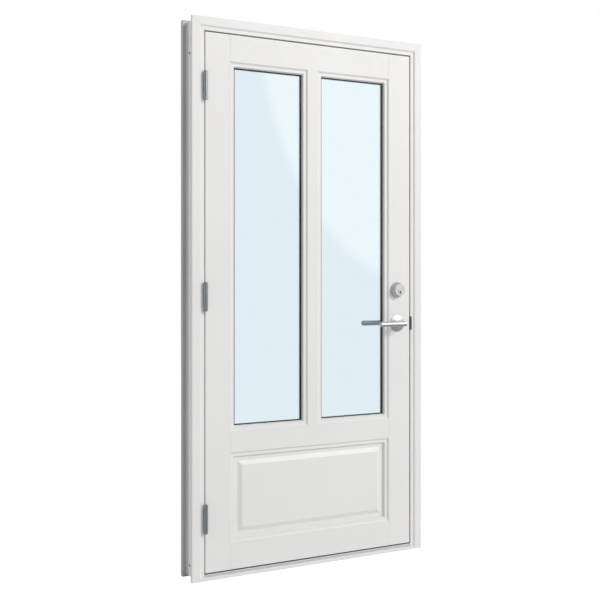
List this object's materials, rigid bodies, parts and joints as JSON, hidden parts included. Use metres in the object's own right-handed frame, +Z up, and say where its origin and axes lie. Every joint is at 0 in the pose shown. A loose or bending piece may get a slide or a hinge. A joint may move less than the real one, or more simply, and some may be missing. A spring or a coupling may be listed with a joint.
{
  "type": "impact entry door",
  "caption": "White outswing entry door in a flange frame, with two tall impact-glass lites over a raised panel, butt hinges, lever and deadbolt.",
  "frame": {"origin": "bottom centre of the sill nose's back face, which lies on the wall", "axes": "+Z up, +Y from the outside towards the inside of the house, +X right as seen from outside (hinges at -X)"},
  "size_m": [1.0254, 0.1714, 2.115],
  "materials": {
    "white_paint": "satin",
    "glass": "clear",
    "seal_rubber": "matte",
    "threshold_metal": "mill",
    "hinge_steel": "satin",
    "satin_nickel": "satin"
  },
  "bodies": {
    "frame": {"hinge_jamb": "white_paint", "lock_jamb": "white_paint", "head_jamb": "white_paint", "sill_base": "white_paint", "threshold_cap": "threshold_metal", "weatherstrip_hinge_side": "seal_rubber", "weatherstrip_lock_side": "seal_rubber", "weatherstrip_head": "seal_rubber", "sill_seal": "seal_rubber", "hinge_frame_leaf_top": "hinge_steel", "hinge_frame_leaf_middle": "hinge_steel", "hinge_frame_leaf_bottom": "hinge_steel", "latch_strike": "satin_nickel", "deadbolt_strike": "satin_nickel"},
    "door_leaf": {"hinge_stile": "white_paint", "lock_stile": "white_paint", "bottom_rail": "white_paint", "middle_rail": "white_paint", "top_rail": "white_paint", "mullion": "white_paint", "door_sweep": "seal_rubber", "glazing_bead_outer_left": "white_paint", "glazing_bead_inner_left": "white_paint", "glazing_bead_outer_right": "white_paint", "glazing_bead_inner_right": "white_paint", "panel_bead_outer": "white_paint", "panel_bead_inner": "white_paint", "glazing_gasket_left": "seal_rubber", "glazing_gasket_right": "seal_rubber", "glass_left": "glass", "glass_right": "glass", "raised_panel": "white_paint", "hinge_door_leaf_top": "hinge_steel", "hinge_door_leaf_middle": "hinge_steel", "hinge_door_leaf_bottom": "hinge_steel", "latch_faceplate": "satin_nickel", "deadbolt_faceplate": "satin_nickel", "lever_rose_outer": "satin_nickel", "lever_rose_inner": "satin_nickel", "deadbolt_collar": "satin_nickel", "thumbturn_rose": "satin_nickel"},
    "lever_set": {"lever_outer": "satin_nickel", "lever_inner": "satin_nickel"},
    "deadbolt_turn": {"key_plug": "satin_nickel", "thumbturn": "satin_nickel"}
  },
  "joints": [
    {"name": "door_swing", "type": "hinge", "parent": "frame", "child": "door_leaf", "pos_m": [-0.4598, -0.018, 1], "axis": [0, 0, -1], "range_deg": [0, 170]},
    {"name": "lever_turn", "type": "hinge", "parent": "door_leaf", "child": "lever_set", "pos_m": [0.3969, -0.017, 0.945], "axis": [0, -1, 0], "range_deg": [0, 45], "stiffness_Nm_per_rad": 1.5, "springref_deg": -11.46},
    {"name": "key_turn", "type": "hinge", "parent": "door_leaf", "child": "deadbolt_turn", "pos_m": [0.3969, -0.017, 1.078], "axis": [0, -1, 0], "range_deg": [0, 90]}
  ]
}
